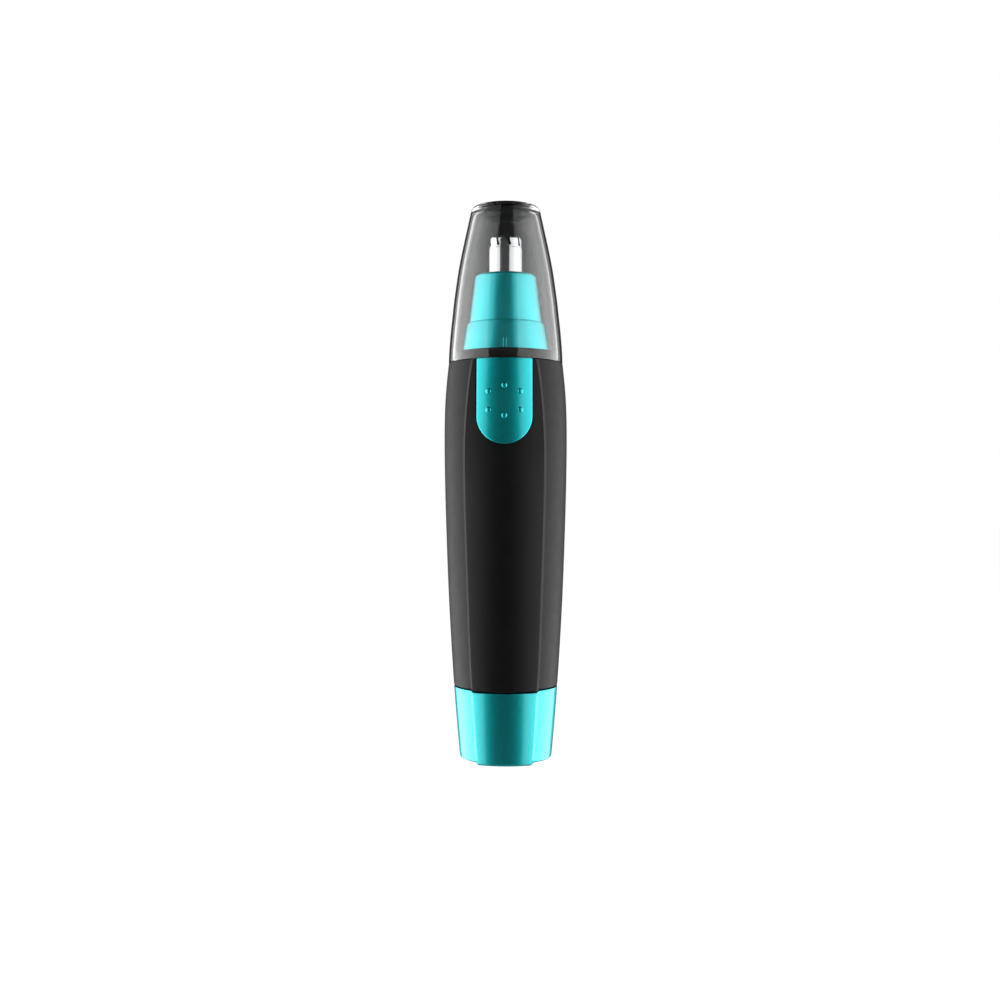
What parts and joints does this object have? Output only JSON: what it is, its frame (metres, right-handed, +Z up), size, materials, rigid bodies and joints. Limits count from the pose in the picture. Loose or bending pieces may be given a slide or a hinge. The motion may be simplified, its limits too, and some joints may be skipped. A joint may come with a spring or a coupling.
{
  "type": "nose hair trimmer",
  "caption": "Battery nose and ear hair trimmer: barrel handle with slide switch, twist-off base, slotted rotary cutter on a cone head, and a clear tapered protective cap.",
  "frame": {"origin": "on the tool's axis at the underside of the base cap", "axes": "+Z up along the tool's axis towards the cutter, switch side facing -Y"},
  "size_m": [0.0298, 0.0328, 0.1337],
  "materials": {
    "housing_black": "fine matt grain, soft touch",
    "neck_black": "satin",
    "teal_metallic": "satin metallic lacquer",
    "cap_clear": "clear, faintly smoky",
    "cutter_steel": "polished",
    "blade_steel": "ground",
    "spring_steel": "drawn, bright",
    "screw_steel": "zinc plated",
    "shaft_steel": "ground",
    "motor_steel": "plated sheet",
    "armature_steel": "stamped stack",
    "magnet_grey": "matt ferrite",
    "winding_copper": "enamelled copper",
    "commutator_copper": "copper",
    "contact_brass": "sheet, bright",
    "bush_brass": "sintered bronze",
    "frame_white": "moulded, light grey",
    "end_cap_white": "moulded",
    "coupling_white": "acetal",
    "seal_rubber": "smooth",
    "cell_steel": "nickel plated",
    "cell_sleeve": "printed film, plain"
  },
  "bodies": {
    "housing": {"housing_front": "housing_black", "housing_rear": "housing_black", "neck_ring": "neck_black", "shaft_seal": "seal_rubber", "battery_frame": "frame_white", "battery_cell": "cell_steel", "battery_sleeve": "cell_sleeve", "positive_contact": "contact_brass", "negative_strip": "contact_brass", "motor_strip": "contact_brass", "motor_frame": "frame_white", "frame_screws": "screw_steel", "motor_can": "motor_steel", "motor_magnets": "magnet_grey", "motor_bushes": "bush_brass", "motor_end_cap": "end_cap_white", "motor_brushes": "contact_brass"},
    "rotor": {"motor_shaft": "shaft_steel", "motor_armature": "armature_steel", "motor_windings": "winding_copper", "motor_commutator": "commutator_copper", "drive_coupling": "coupling_white"},
    "head": {"head_cone": "teal_metallic", "cutter_tube": "cutter_steel", "guide_bush": "coupling_white", "head_retainer": "neck_black", "head_o_ring": "seal_rubber"},
    "blade": {"inner_blade": "blade_steel", "blade_carrier": "coupling_white", "blade_spring": "spring_steel"},
    "lock_ring": {"head_collar": "teal_metallic"},
    "cap": {"protective_cap": "cap_clear"},
    "switch": {"switch_button": "teal_metallic", "switch_slider": "neck_black", "switch_contact": "contact_brass"},
    "base_carrier": {"base_contact": "spring_steel", "battery_spring": "spring_steel"},
    "base": {"base_cap": "teal_metallic", "base_o_ring": "seal_rubber"}
  },
  "joints": [
    {"name": "cap_slide", "type": "slide", "parent": "housing", "child": "cap", "axis": [0, 0, 1], "range_m": [0, 0.042]},
    {"name": "switch_slide", "type": "slide", "parent": "housing", "child": "switch", "axis": [0, 0, -1], "range_m": [0, 0.003]},
    {"name": "lock_ring_twist", "type": "hinge", "parent": "housing", "child": "lock_ring", "pos_m": [0, 0, 0.1015], "axis": [0, 0, 1], "range_deg": [0, 40]},
    {"name": "head_lift", "type": "slide", "parent": "housing", "child": "head", "axis": [0, 0, 1], "range_m": [0, 0.0045]},
    {"name": "motor_spin", "type": "hinge", "parent": "housing", "child": "rotor", "pos_m": [0, 0, 0.0745], "axis": [0, 0, 1], "continuous": true},
    {"name": "blade_spin", "type": "hinge", "parent": "head", "child": "blade", "pos_m": [0, 0, 0.112], "axis": [0, 0, 1], "continuous": true},
    {"name": "base_pull", "type": "slide", "parent": "housing", "child": "base_carrier", "axis": [0, 0, -1], "range_m": [0, 0.025]},
    {"name": "base_twist", "type": "hinge", "parent": "base_carrier", "child": "base", "pos_m": [0, 0, 0], "axis": [0, 0, 1], "range_deg": [0, 30]}
  ],
  "couplings": [
    {"joint": "blade_spin", "follows": "motor_spin", "ratio": 1}
  ]
}
